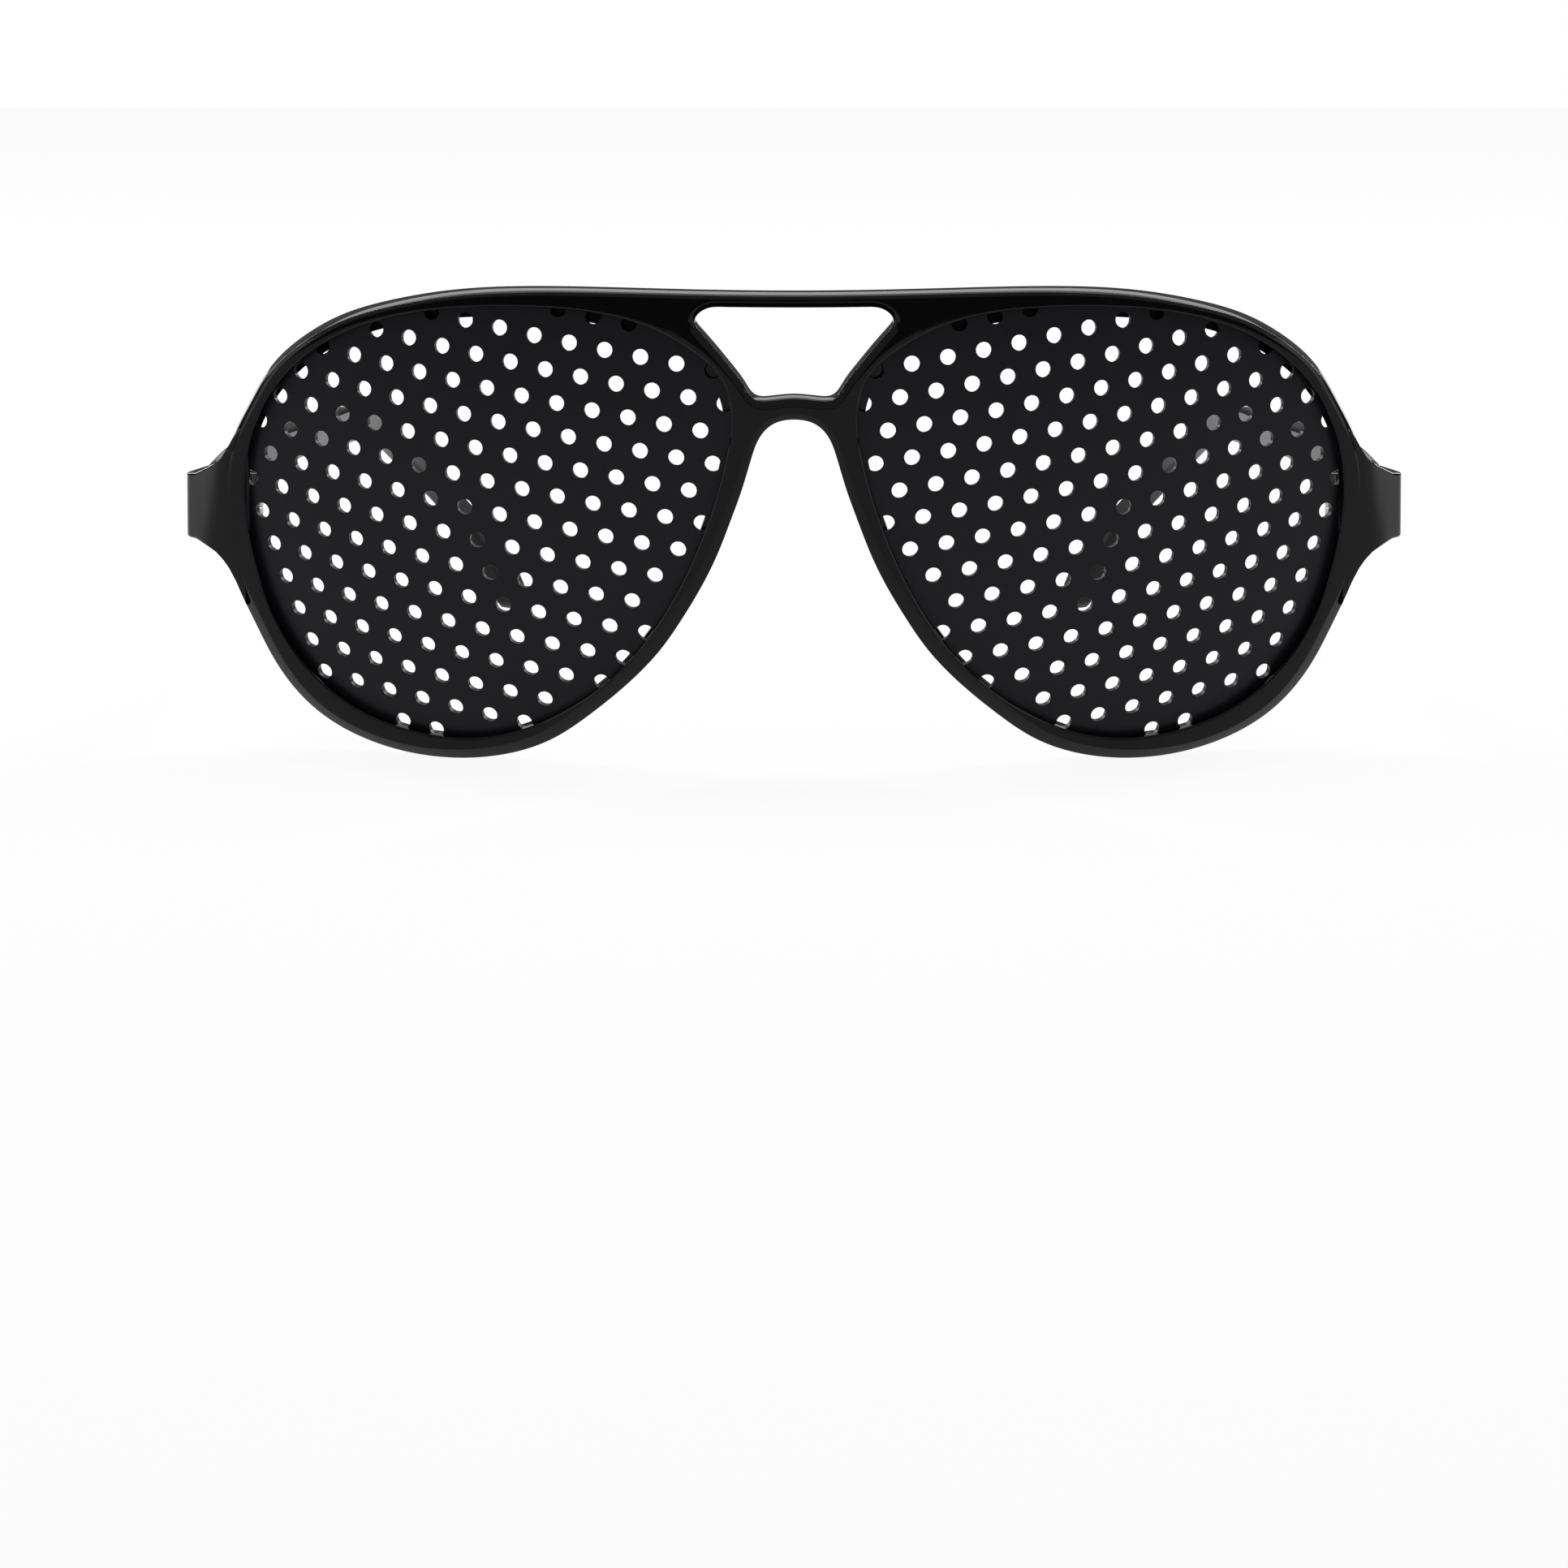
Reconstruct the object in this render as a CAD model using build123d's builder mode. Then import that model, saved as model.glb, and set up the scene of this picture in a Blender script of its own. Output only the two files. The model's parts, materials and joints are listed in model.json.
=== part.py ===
from build123d import *
import os
from math import cos, degrees, hypot, radians, sin, sqrt, atan2

# Pinhole glasses: a moulded aviator front with two perforated plates and two folding temples.
# The front's own plane has x to the wearer's left and y up; its outside faces -Y.
# All lengths are millimetres and all angles are degrees.

# The whole front, plates included, is one spherical surface
base_radius = 122.3
front_tilt = 8.0

# Window: the opening of the rim in front of each plate
window_width = 58.7
window_height = 54.0
nose_gap = 15.0
window_lift = -2.5
window_shares = [
    (-1.000, 0.560), (-0.961, 0.719), (-0.850, 0.836), (-0.607, 0.958), (-0.193, 1.000),
    (0.269, 0.943), (0.599, 0.809), (0.879, 0.522), (0.997, 0.126), (0.960, -0.267),
    (0.833, -0.615), (0.606, -0.870), (0.298, -0.990), (-0.025, -0.975), (-0.295, -0.843),
    (-0.556, -0.607), (-0.745, -0.312), (-0.911, 0.099), (-0.983, 0.384),
]

# Front frame
rim_width = 2.8
front_proud = 1.2
front_thickness = 3.8
front_bevel = 0.7
lip_behind = 0.6
rear_drop = 1.0
rear_out = 0.2
groove_depth = 1.0
top_shares = [
    (-0.434, 0.975), (0.110, 0.929), (0.540, 0.786), (0.801, 0.559), (0.954, 0.267),
    (0.995, 0.170),
]
brow_share = 0.977
under_shares = [
    (0.985, -0.265), (0.941, -0.371), (0.891, -0.495), (0.795, -0.696),
    (0.649, -0.867), (0.437, -0.978), (0.191, -1.008), (-0.120, -0.945), (-0.388, -0.767),
    (-0.652, -0.471), (-0.810, -0.189), (-0.914, 0.079), (-0.993, 0.344),
]
shoulder_share = (0.89, 0.411)
crown_share = (0.47, 0.476)
arch_top_share = 0.489

# Opening between the brow bar and the bridge
opening_half_top = 10.6
opening_half_corner = 12.3
opening_half_foot = 4.7
opening_bulge = 0.7
opening_top = 25.2
opening_corner = 23.6
opening_foot = 14.1
opening_sill = 14.65
opening_radius = 0.5

# Perforated plate
plate_thickness = 0.9
plate_clearance = 0.1
hole_diameter = 1.9
hole_sides = 6
hole_margin = 0.3
hole_pitch = 4.41
row_pitch = 4.25
row_angle = 8.36
column_angle = 68.9
pattern_out = 35.65
pattern_down = 0.70

# Endpiece: the rim wraps round to the hinge; the hinge axis stands upright
hinge_out = 66.2
hinge_back = 34.0
hinge_lift = -1.0
temple_splay = 10.8
endpiece_corner = 1.2
corner_depth = 8.4
wrap_start = 66.6
wrap_wall = 3.4
butt_gap = 0.3
overrun = 6.0
# Along from where the flare leaves the rim to the corner, then up from the hinge's middle
flare_root = 64.5
flare_height = 7.9
flare_top_shares = [(0.0, 1.80), (0.16, 1.55), (0.34, 1.17), (0.52, 0.82), (0.71, 0.63)]
flare_bottom_shares = [(0.09, -1.78), (0.28, -1.25), (0.46, -0.89), (0.64, -0.68), (0.82, -0.54)]

# Nose pads moulded on the back of the rims
nose_pad_length = 17.0
nose_pad_width = 2.2
nose_pad_stand = 6.8
nose_pad_root = 2.6
nose_pad_out = 10.6
nose_pad_drop = 4.5
nose_pad_lean = 26.0

# Temples; along runs back from the hinge axis, out is outward from it, up is from its middle
temple_inset = 1.7
temple_thickness = 4.1
temple_height = 7.8
temple_length = 118.5
ear_turn = 9.0
hinge_flat_share = 0.076
top_line_shares = [(0.076, 0.67), (0.327, 0.72), (0.578, 0.70)]
bottom_line_shares = [(0.076, -0.47), (0.245, -0.24), (0.452, 0.02), (0.608, 0.04)]
ear_top_shares = [
    (0.709, -0.128), (0.777, 0.037), (0.861, 0.314), (0.944, 0.605), (1.013, 0.841),
]
ear_bottom_shares = [
    (0.692, 0.061), (0.751, 0.216), (0.830, 0.473), (0.902, 0.736), (0.960, 0.936),
]
tip_share = (1.001, 1.01)
# Along, inward turn and thickness
plan_shares = [
    (0.452, 0.0, 0.84), (0.693, 0.05, 0.76), (0.830, 0.30, 0.76), (0.944, 0.78, 0.78),
    (1.049, 1.30, 0.78),
]

# Metal hinges: two knuckles on the front leaf, one on the temple leaf
leaf_thickness = 0.8
leaf_height = 6.4
leaf_length = 5.4
knuckle_radius = 1.35
knuckle_height = 2.0
knuckle_gap = 0.1
leaf_clear = 0.4
screw_radius = 0.65
bore_fit = 0.05
screw_head_radius = 1.15
screw_head_height = 0.6
screw_slot_width = 0.35
screw_slot_depth = 0.3
rivet_radius = 0.6
rivet_head_radius = 1.0
rivet_head_height = 0.45
rivet_length = 2.8
rivet_fit = 0.04
rivet_pitch = 2.7
rivet_sides = 8
round_sides = 16

os.makedirs("parts", exist_ok=True)

front_plane = Plane(
    origin=(0, 0, 0), x_dir=(1, 0, 0),
    z_dir=(0, -cos(radians(front_tilt)), -sin(radians(front_tilt))),
)
sphere_centre = front_plane.location * Location((0, 0, -base_radius))
# Its poles are above and below the glasses and its seam is behind them
sphere_place = Plane(
    origin=sphere_centre.position, x_dir=-front_plane.z_dir, z_dir=front_plane.y_dir,
)
window_x = (nose_gap + window_width) / 2
outer_half_width = window_width / 2 + rim_width
outer_half_height = window_height / 2 + rim_width
outside_radius = base_radius + front_proud
inside_radius = outside_radius - front_thickness


def window_face(growth):
    """The window's shape, larger or smaller by a growth on all sides."""
    half_width = window_width / 2 + growth
    half_height = window_height / 2 + growth
    points = [(window_x + x * half_width, window_lift + y * half_height) for x, y in window_shares]
    with BuildSketch() as face:
        with BuildLine():
            Spline(*points, periodic=True)
        make_face()
    return face.sketch


def outer_point(share_x, share_y):
    """Point of the outer outline from its shares of the window and rim together."""
    return (window_x + share_x * outer_half_width, window_lift + share_y * outer_half_height)


def surface_depth(x, z, radius):
    """How far behind the front's foremost point a sphere lies at a given place."""
    centre = sphere_centre.position
    return centre.Y - sqrt(radius**2 - x**2 - (z - centre.Z) ** 2)


def across(points, middle):
    """An outline run from the wearer's left to the right through a point on the middle line."""
    return points + [middle] + [(-x, y) for x, y in reversed(points)]


top_run = [outer_point(*share) for share in reversed(top_shares)]
arch_half = nose_gap / 2 - rim_width
arch_run = [
    (x * arch_half, window_lift + y * outer_half_height) for x, y in (shoulder_share, crown_share)
]
under_run = [outer_point(*share) for share in under_shares] + arch_run

with BuildSketch() as outline:
    with BuildLine():
        top_line = Spline(across(top_run, (0, window_lift + brow_share * outer_half_height)))
        under_line = Spline(
            across(under_run, (0, window_lift + arch_top_share * outer_half_height))
        )
        Line(top_line @ 0, under_line @ 0)
        Line(top_line @ 1, under_line @ 1)
    make_face()

with BuildSketch() as opening:
    with BuildLine():
        Polyline(
            (0, opening_sill), (0, opening_top), (opening_half_top, opening_top),
            (opening_half_corner, opening_corner),
        )
        middle_x = (opening_half_corner + opening_half_foot) / 2 - opening_bulge
        middle_y = (opening_corner + opening_foot) / 2
        ThreePointArc(
            (opening_half_corner, opening_corner), (middle_x, middle_y),
            (opening_half_foot, opening_foot),
        )
        Line((opening_half_foot, opening_foot), (0, opening_sill))
    make_face()
    mirror(about=Plane.YZ)
    corners = opening.vertices().filter_by(lambda point: abs(point.X) > opening_half_foot / 2)
    fillet(corners, radius=opening_radius)

# Hinge frame of the wearer's left side: x out, y back along the temple, z up
hinge_plane = Plane(
    origin=(hinge_out, hinge_back, hinge_lift),
    x_dir=(cos(radians(temple_splay)), sin(radians(temple_splay)), 0), z_dir=(0, 0, 1),
)
temple_outside = temple_inset + temple_thickness
knuckle_middle = (knuckle_height + leaf_height) / 4 + knuckle_gap / 2
outer_knuckle_height = (leaf_height - knuckle_height) / 2 - knuckle_gap
knuckle_reach = knuckle_radius + leaf_clear
rivet_start = knuckle_reach + (leaf_length - rivet_pitch) / 2
rivet_alongs = [rivet_start, rivet_start + rivet_pitch]
# The side plane looks out from the axis, with x along the temple and y up
side_plane = Plane(
    origin=hinge_plane.origin, x_dir=hinge_plane.y_dir, z_dir=hinge_plane.x_dir,
)


def in_hinge_frame(x, y):
    """Place of a point of the floor plan in the hinge frame."""
    local = hinge_plane.to_local_coords(Vector(x, y, hinge_lift))
    return Vector(local.X, local.Y)


def rivet_bores(direction):
    """Blind holes in the plastic for the rivets of the front (-1) or the temple (1)."""
    with BuildPart() as bores:
        with BuildSketch(side_plane.offset(temple_inset)):
            with Locations(*[(direction * along, 0) for along in rivet_alongs]):
                RegularPolygon(rivet_radius + rivet_fit, rivet_sides)
        extrude(amount=rivet_length - leaf_thickness + rivet_fit)
    return bores.part


wrap_point = in_hinge_frame(wrap_start, surface_depth(wrap_start, hinge_lift, outside_radius))
corner_point = Vector(temple_outside, -corner_depth)
wrap_run = corner_point - wrap_point
wrap_outward = Vector(wrap_run.Y, -wrap_run.X).normalized()
inner_root = wrap_point - wrap_outward * wrap_wall
inner_share = (temple_inset - inner_root.X) / wrap_run.X
inner_corner = inner_root + wrap_run * inner_share
corner_x = hinge_plane.from_local_coords(corner_point).X
flare_run = corner_x - flare_root


# The outer face of the wrap, with x towards the corner and y up
wrap_plane = Plane(
    origin=hinge_plane.from_local_coords(wrap_point),
    x_dir=hinge_plane.from_local_coords(corner_point) - hinge_plane.from_local_coords(wrap_point),
    z_dir=hinge_plane.from_local_coords(wrap_outward) - hinge_plane.origin,
)


def flare_point(along_share, height_share):
    """Point of the endpiece's outline on the wrap's face, from its shares in the front view."""
    across_front = flare_root + along_share * flare_run - wrap_start
    return (across_front / wrap_plane.x_dir.X, height_share * flare_height)


with BuildPart() as endpiece:
    with BuildSketch(wrap_plane):
        with BuildLine():
            flare_top = Spline(*[flare_point(*share) for share in flare_top_shares])
            flare_bottom = Spline(*[flare_point(*share) for share in flare_bottom_shares])
            Polyline(flare_top @ 1, flare_point(1, 0.5), flare_point(1, -0.5), flare_bottom @ 1)
            Line(flare_top @ 0, flare_bottom @ 0)
        make_face()
    extrude(amount=-2 * wrap_wall)
    with BuildSketch(hinge_plane.offset(-base_radius / 2)) as endpiece_plan:
        with BuildLine():
            Polyline(
                wrap_point, corner_point, (temple_outside, -butt_gap),
                (temple_inset, -butt_gap), inner_corner, inner_root, close=True,
            )
        make_face()
        fillet(endpiece_plan.vertices().sort_by_distance(corner_point)[0], endpiece_corner)
    extrude(amount=base_radius, mode=Mode.INTERSECT)
    with BuildSketch(hinge_plane.offset(-flare_height / 2)):
        add(endpiece_plan.sketch_local)
    extrude(amount=flare_height)
    with Locations(sphere_place):
        Sphere(outside_radius, mode=Mode.INTERSECT)

with BuildPart() as wrap_cutter:
    with BuildSketch(hinge_plane.offset(-base_radius / 2)):
        with BuildLine():
            wrap_reach = wrap_outward * overrun
            Polyline(
                wrap_point, corner_point + wrap_run, corner_point + wrap_run + wrap_reach,
                wrap_point + wrap_reach, close=True,
            )
        make_face()
    extrude(amount=base_radius)


with BuildPart() as nose_pad:
    with BuildSketch(front_plane.offset(-nose_pad_root)):
        with Locations((nose_pad_out, -nose_pad_drop)):
            Ellipse(nose_pad_width / 2, nose_pad_length / 2, rotation=nose_pad_lean)
    extrude(amount=-nose_pad_stand)

with BuildPart() as window_cutter:
    with BuildSketch(front_plane.offset(overrun)):
        add(window_face(0))
    extrude(amount=-base_radius / 2)
    with Locations(sphere_place):
        Sphere(base_radius - plate_thickness / 2, mode=Mode.SUBTRACT)

with BuildPart() as rear_cutter:
    with BuildSketch(front_plane.offset(overrun)):
        with Locations((rear_out, -rear_drop)):
            add(window_face(-lip_behind))
    extrude(amount=-base_radius / 2)
    with Locations(sphere_place):
        Sphere(base_radius - plate_thickness / 2, mode=Mode.INTERSECT)

with BuildPart() as groove_cutter:
    with BuildSketch(front_plane.offset(overrun)):
        add(window_face(groove_depth))
    extrude(amount=-base_radius / 2)
    with Locations(sphere_place):
        Sphere(base_radius + plate_clearance, mode=Mode.INTERSECT)
        Sphere(base_radius - plate_thickness - plate_clearance, mode=Mode.SUBTRACT)

with BuildPart() as front_frame:
    with BuildSketch(front_plane.offset(front_proud)):
        add(outline.sketch)
        add(opening.sketch, mode=Mode.SUBTRACT)
    extrude(amount=-base_radius / 2)
    with Locations(sphere_place):
        Sphere(outside_radius, mode=Mode.INTERSECT)
        Sphere(inside_radius, mode=Mode.SUBTRACT)
    outside = front_frame.faces().filter_by(GeomType.SPHERE).sort_by(Axis.Y)[0]
    chamfer(outside.outer_wire().edges(), length=front_bevel)
    add(wrap_cutter.part, mode=Mode.SUBTRACT)
    mirror(wrap_cutter.part, about=Plane.YZ, mode=Mode.SUBTRACT)
    add(endpiece.part)
    mirror(endpiece.part, about=Plane.YZ)
    # The rear of a window is smaller than its front and lower, and it backs the plate
    for cutter in (window_cutter, rear_cutter, groove_cutter):
        add(cutter.part, mode=Mode.SUBTRACT)
        mirror(cutter.part, about=Plane.YZ, mode=Mode.SUBTRACT)
    add(nose_pad.part)
    mirror(nose_pad.part, about=Plane.YZ)
    front_bores = rivet_bores(-1)
    add(front_bores, mode=Mode.SUBTRACT)
    mirror(front_bores, about=Plane.YZ, mode=Mode.SUBTRACT)

stand_height = -front_frame.part.bounding_box().min.Z
tip_drop = stand_height + hinge_lift


def pattern_places():
    """Locations of the pinholes on the sphere, in rows that lean outward, inside the window."""
    inside = window_face(-hole_margin).faces()[0]
    middle = sphere_centre * Location(
        (0, 0, 0), (0, degrees(pattern_out / base_radius), 0)
    ) * Location((0, 0, 0), (degrees(pattern_down / base_radius), 0, 0))
    steps = int(window_width / row_pitch)
    places = []
    for step in range(-steps, steps + 1):
        for row in range(-steps, steps + 1):
            right = step * hole_pitch * cos(radians(row_angle))
            right += row * row_pitch * cos(radians(column_angle))
            up = step * hole_pitch * sin(radians(row_angle))
            up += row * row_pitch * sin(radians(column_angle))
            place = middle * Location((0, 0, 0), (0, 0, degrees(atan2(up, right)))) * Location(
                (0, 0, 0), (0, degrees(hypot(right, up) / base_radius), 0)
            ) * Location((0, 0, base_radius))
            flat = front_plane.to_local_coords(place.position)
            if inside.is_inside((flat.X, flat.Y, 0)):
                places.append(place)
    return places


with BuildPart() as pins:
    pinholes = pattern_places()
    with BuildSketch(*[Plane(place).offset(plate_thickness) for place in pinholes]):
        RegularPolygon(hole_diameter / 2, hole_sides)
    extrude(amount=-3 * plate_thickness, clean=False)

with BuildPart() as left_plate:
    with BuildSketch(front_plane.offset(overrun)):
        add(window_face(groove_depth - plate_clearance))
    extrude(amount=-base_radius / 2)
    with Locations(sphere_place):
        Sphere(base_radius, mode=Mode.INTERSECT)
        Sphere(base_radius - plate_thickness, mode=Mode.SUBTRACT)
    add(pins.part, mode=Mode.SUBTRACT, clean=False)
# Plain splines in place of the many small arcs keep the file light
left_plate_body = left_plate.part.to_splines()

top_points = [(along * temple_length, up * temple_height) for along, up in top_line_shares]
top_points += [(along * temple_length, -down * tip_drop) for along, down in ear_top_shares]
bottom_points = [(along * temple_length, up * temple_height) for along, up in bottom_line_shares]
bottom_points += [(along * temple_length, -down * tip_drop) for along, down in ear_bottom_shares]
plan_middle = temple_inset + temple_thickness / 2


def plan_run(side):
    """Points of the temple's outer side (1) or inner side (-1), seen from above."""
    return [
        (
            plan_middle - turn * ear_turn + side * thickness * temple_thickness / 2,
            along * temple_length,
        )
        for along, turn, thickness in plan_shares
    ]


with BuildPart() as left_temple:
    with BuildSketch(side_plane):
        with BuildLine():
            top_edge = Spline((0, temple_height / 2), *top_points)
            bottom_edge = Spline((0, -temple_height / 2), *bottom_points)
            Line(top_edge @ 0, bottom_edge @ 0)
            tip_point = (tip_share[0] * temple_length, -tip_share[1] * tip_drop)
            ThreePointArc(top_edge @ 1, tip_point, bottom_edge @ 1)
        make_face()
    extrude(amount=temple_length / 4, both=True)
    with BuildSketch(hinge_plane.offset(-2 * tip_drop)):
        with BuildLine():
            outer_start = Line((temple_outside, 0), (temple_outside, hinge_flat_share * temple_length))
            inner_start = Line((temple_inset, 0), (temple_inset, hinge_flat_share * temple_length))
            outer_edge = Spline(outer_start @ 1, *plan_run(1))
            inner_edge = Spline(inner_start @ 1, *plan_run(-1))
            Line(outer_start @ 0, inner_start @ 0)
            Line(outer_edge @ 1, inner_edge @ 1)
        make_face()
    extrude(amount=4 * tip_drop, mode=Mode.INTERSECT)
    split(bisect_by=Plane.XY.offset(-stand_height), keep=Keep.TOP)
    add(rivet_bores(1), mode=Mode.SUBTRACT)


def hinge_leaf(direction, knuckle_planes, height):
    """Leaf behind (1) or in front of (-1) the hinge axis, with one or two knuckles."""
    with BuildPart() as leaf:
        with BuildSketch(side_plane.offset(temple_inset)):
            with Locations((direction * (knuckle_reach + leaf_length / 2), 0)):
                Rectangle(leaf_length, leaf_height)
            with Locations(*[(direction * along, 0) for along in rivet_alongs]):
                RegularPolygon(rivet_radius + rivet_fit, rivet_sides, mode=Mode.SUBTRACT)
        extrude(amount=-leaf_thickness)
        with BuildSketch(*knuckle_planes):
            RegularPolygon(knuckle_radius, round_sides)
            with Locations((temple_inset - leaf_thickness / 2, direction * knuckle_reach / 2)):
                Rectangle(leaf_thickness, knuckle_reach)
            Circle(screw_radius + bore_fit, mode=Mode.SUBTRACT)
        extrude(amount=height / 2, both=True)
    return leaf.part


def rivet_pair(direction):
    """Two rivets with low heads on a leaf and their shanks in the plastic."""
    with BuildPart() as pair:
        with BuildSketch(side_plane.offset(temple_inset - leaf_thickness)):
            with Locations(*[(direction * along, 0) for along in rivet_alongs]):
                RegularPolygon(rivet_radius, rivet_sides)
        extrude(amount=rivet_length)
        with BuildSketch(side_plane.offset(temple_inset - leaf_thickness)):
            with Locations(*[(direction * along, 0) for along in rivet_alongs]):
                RegularPolygon(rivet_head_radius, rivet_sides)
        extrude(amount=-rivet_head_height)
    return pair.part


left_front_hinge = hinge_leaf(
    -1, [hinge_plane.offset(knuckle_middle), hinge_plane.offset(-knuckle_middle)],
    outer_knuckle_height,
)
left_temple_hinge = hinge_leaf(1, [hinge_plane], knuckle_height)

with BuildPart() as left_hinge_screw:
    with Locations(hinge_plane):
        Cylinder(screw_radius, leaf_height)
    with BuildSketch(hinge_plane.offset(leaf_height / 2)):
        RegularPolygon(screw_head_radius, round_sides)
    extrude(amount=screw_head_height)
    with BuildSketch(hinge_plane.offset(leaf_height / 2 + screw_head_height)):
        Rectangle(screw_slot_width, 2 * screw_head_radius)
    extrude(amount=-screw_slot_depth, mode=Mode.SUBTRACT)

# The pair stands with its floor at zero height and the middle of its floor area at the origin
front_box = front_frame.part.bounding_box()
temple_box = left_temple.part.bounding_box()
standing = Location((0, -(front_box.min.Y + temple_box.max.Y) / 2, stand_height))

left_pieces = {
    "plate": left_plate_body,
    "temple": left_temple.part,
    "front_hinge": left_front_hinge,
    "temple_hinge": left_temple_hinge,
    "hinge_screw": left_hinge_screw.part,
    "front_hinge_rivets": rivet_pair(-1),
    "temple_hinge_rivets": rivet_pair(1),
}
nodes = {"front_frame": front_frame.part}
for name, piece in left_pieces.items():
    nodes[f"left_{name}"] = piece
    nodes[f"right_{name}"] = mirror(piece, about=Plane.YZ)

for name, piece in nodes.items():
    node = piece.moved(standing)
    node.label = name
    export_step(node, f"parts/{name}.step")

axis = (standing * hinge_plane.location).position
print(f"hinge axes at x {axis.X:.3f} and {-axis.X:.3f}, y {axis.Y:.3f}, z {axis.Z:.3f}")
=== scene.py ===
"""Pinhole glasses: a glossy moulded front, two perforated plates and two folding temples.

Sizes are millimetres. On the tilted front x runs to the wearer's left, d is the depth along the
front's normal and z runs up the front, all from the foremost point of its spherical surface.
"""

from __future__ import annotations

import json
import logging
import math
from dataclasses import dataclass, field
from enum import Enum

import bmesh
import bpy
import numpy as np
from bpy.types import Material, Mesh, Node, NodeTree, Object
from mathutils import Matrix, Vector
from mathutils.geometry import delaunay_2d_cdt

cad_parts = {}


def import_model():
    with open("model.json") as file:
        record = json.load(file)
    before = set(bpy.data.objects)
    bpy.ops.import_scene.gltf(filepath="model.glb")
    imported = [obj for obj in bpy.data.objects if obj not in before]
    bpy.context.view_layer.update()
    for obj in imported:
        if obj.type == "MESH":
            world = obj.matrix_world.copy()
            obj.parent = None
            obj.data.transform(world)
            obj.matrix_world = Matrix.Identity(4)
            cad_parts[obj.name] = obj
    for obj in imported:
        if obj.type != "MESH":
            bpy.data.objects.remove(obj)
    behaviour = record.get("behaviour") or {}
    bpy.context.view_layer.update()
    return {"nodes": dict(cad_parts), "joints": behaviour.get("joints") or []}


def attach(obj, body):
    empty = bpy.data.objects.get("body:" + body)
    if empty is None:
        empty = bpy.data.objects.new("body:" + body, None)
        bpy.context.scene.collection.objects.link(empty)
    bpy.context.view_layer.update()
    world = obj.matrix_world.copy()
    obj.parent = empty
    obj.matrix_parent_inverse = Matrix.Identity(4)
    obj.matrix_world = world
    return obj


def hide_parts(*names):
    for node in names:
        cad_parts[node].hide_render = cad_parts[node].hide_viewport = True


Array = np.ndarray
LOGGER = logging.getLogger("pinhole_glasses")
MILLIMETRE = 0.001
# Samples of a spline from one of its points to the next
SPAN_STEPS = 40
# Points that are compared with every point of a line at once, which bounds the memory
PART = 400
# Distance in millimetres below which a triangulation takes two points for one
SAME_PLACE = 1e-7


class Side(Enum):
    """The wearer's two sides, with the sign of their x."""

    LEFT = 1
    RIGHT = -1

    @property
    def prefix(self) -> str:
        """Returns the start of the names of this side's nodes."""
        return self.name.lower()


class Slot(Enum):
    """The record's material slots."""

    FRAME = "frame_plastic"
    PLATE = "plate_plastic"
    HINGE = "hinge_metal"
    SCREW = "screw_steel"


def to_linear(code: str) -> tuple[float, float, float, float]:
    """Turns an sRGB code into linear light: a power of 2.4, and a straight line near black."""
    channels = np.array([int(code[i : i + 2], 16) for i in (1, 3, 5)]) / 255
    linear = np.where(channels <= 0.04045, channels / 12.92, ((channels + 0.055) / 1.055) ** 2.4)
    return (*linear.tolist(), 1.0)


def cubic_spline(points: Array, closed: bool) -> Array:
    """Samples the smooth curve through some points.

    Each span is a cubic in its own length, and one set of linear equations makes the second
    derivatives agree where two spans meet. An open curve has no bend at its ends.

    Args:
        points: one row for each point, whose first two columns are its place.
        closed: whether the curve returns to its first point.

    Returns:
        The samples, without a repeat of the first one on a closed curve.
    """
    knots = np.vstack([points, points[:1]]) if closed else points
    steps = np.linalg.norm(np.diff(knots[:, :2], axis=0), axis=1)
    slopes = np.diff(knots, axis=0) / steps[:, None]
    count = len(points)
    rows = np.arange(count) if closed else np.arange(1, count - 1)
    matrix = np.zeros((count, count)) if closed else np.eye(count)
    matrix[rows, rows] = 2 * (steps[rows - 1] + steps[rows])
    matrix[rows, rows - 1] = steps[rows - 1]
    matrix[rows, (rows + 1) % count] = steps[rows]
    right = np.zeros_like(points, dtype=float)
    right[rows] = 6 * (slopes[rows] - slopes[rows - 1])
    bends = np.linalg.solve(matrix, right)
    bends = np.vstack([bends, bends[:1]]) if closed else bends
    t = (np.arange(SPAN_STEPS) / SPAN_STEPS)[None, :, None]
    curve = (1 - t) * knots[:-1, None] + t * knots[1:, None]
    low, high = ((1 - t) ** 3 - (1 - t)) * bends[:-1, None], (t**3 - t) * bends[1:, None]
    curve = (curve + steps[:, None, None] ** 2 / 6 * (low + high)).reshape(-1, points.shape[1])
    return curve if closed else np.vstack([curve, knots[-1:]])


def running_length(line: Array) -> Array:
    """Gives the length of a line up to each of its points: the sum of the steps before it."""
    steps = np.linalg.norm(np.diff(line[:, :2], axis=0), axis=1)
    return np.concatenate([[0.0], np.cumsum(steps)])


def even_steps(line: Array, count: int) -> Array:
    """Divides an open line into equal steps by its running length; every column follows."""
    run = running_length(line)
    wanted = np.linspace(0, run[-1], count + 1)
    return np.stack([np.interp(wanted, run, column) for column in line.T], axis=1)


def mirrored_loop(half: Array) -> Array:
    """Closes a half line that starts and ends on the middle plane with its mirror image."""
    other = half[-2:0:-1].copy()
    other[:, 0] *= -1
    return np.vstack([half, other])


def unit(rows: Array) -> Array:
    """Brings each row of numbers to a length of one."""
    return rows / np.linalg.norm(rows, axis=1)[:, None]


def turned_left(rows: Array) -> Array:
    """Turns flat directions by a quarter to their left."""
    return np.stack([-rows[:, 1], rows[:, 0]], axis=1)


def left_normals(loop: Array) -> Array:
    """Gives unit normals on the left of a closed loop, square to the run past each point."""
    return turned_left(unit(np.roll(loop[:, :2], -1, axis=0) - np.roll(loop[:, :2], 1, axis=0)))


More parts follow.
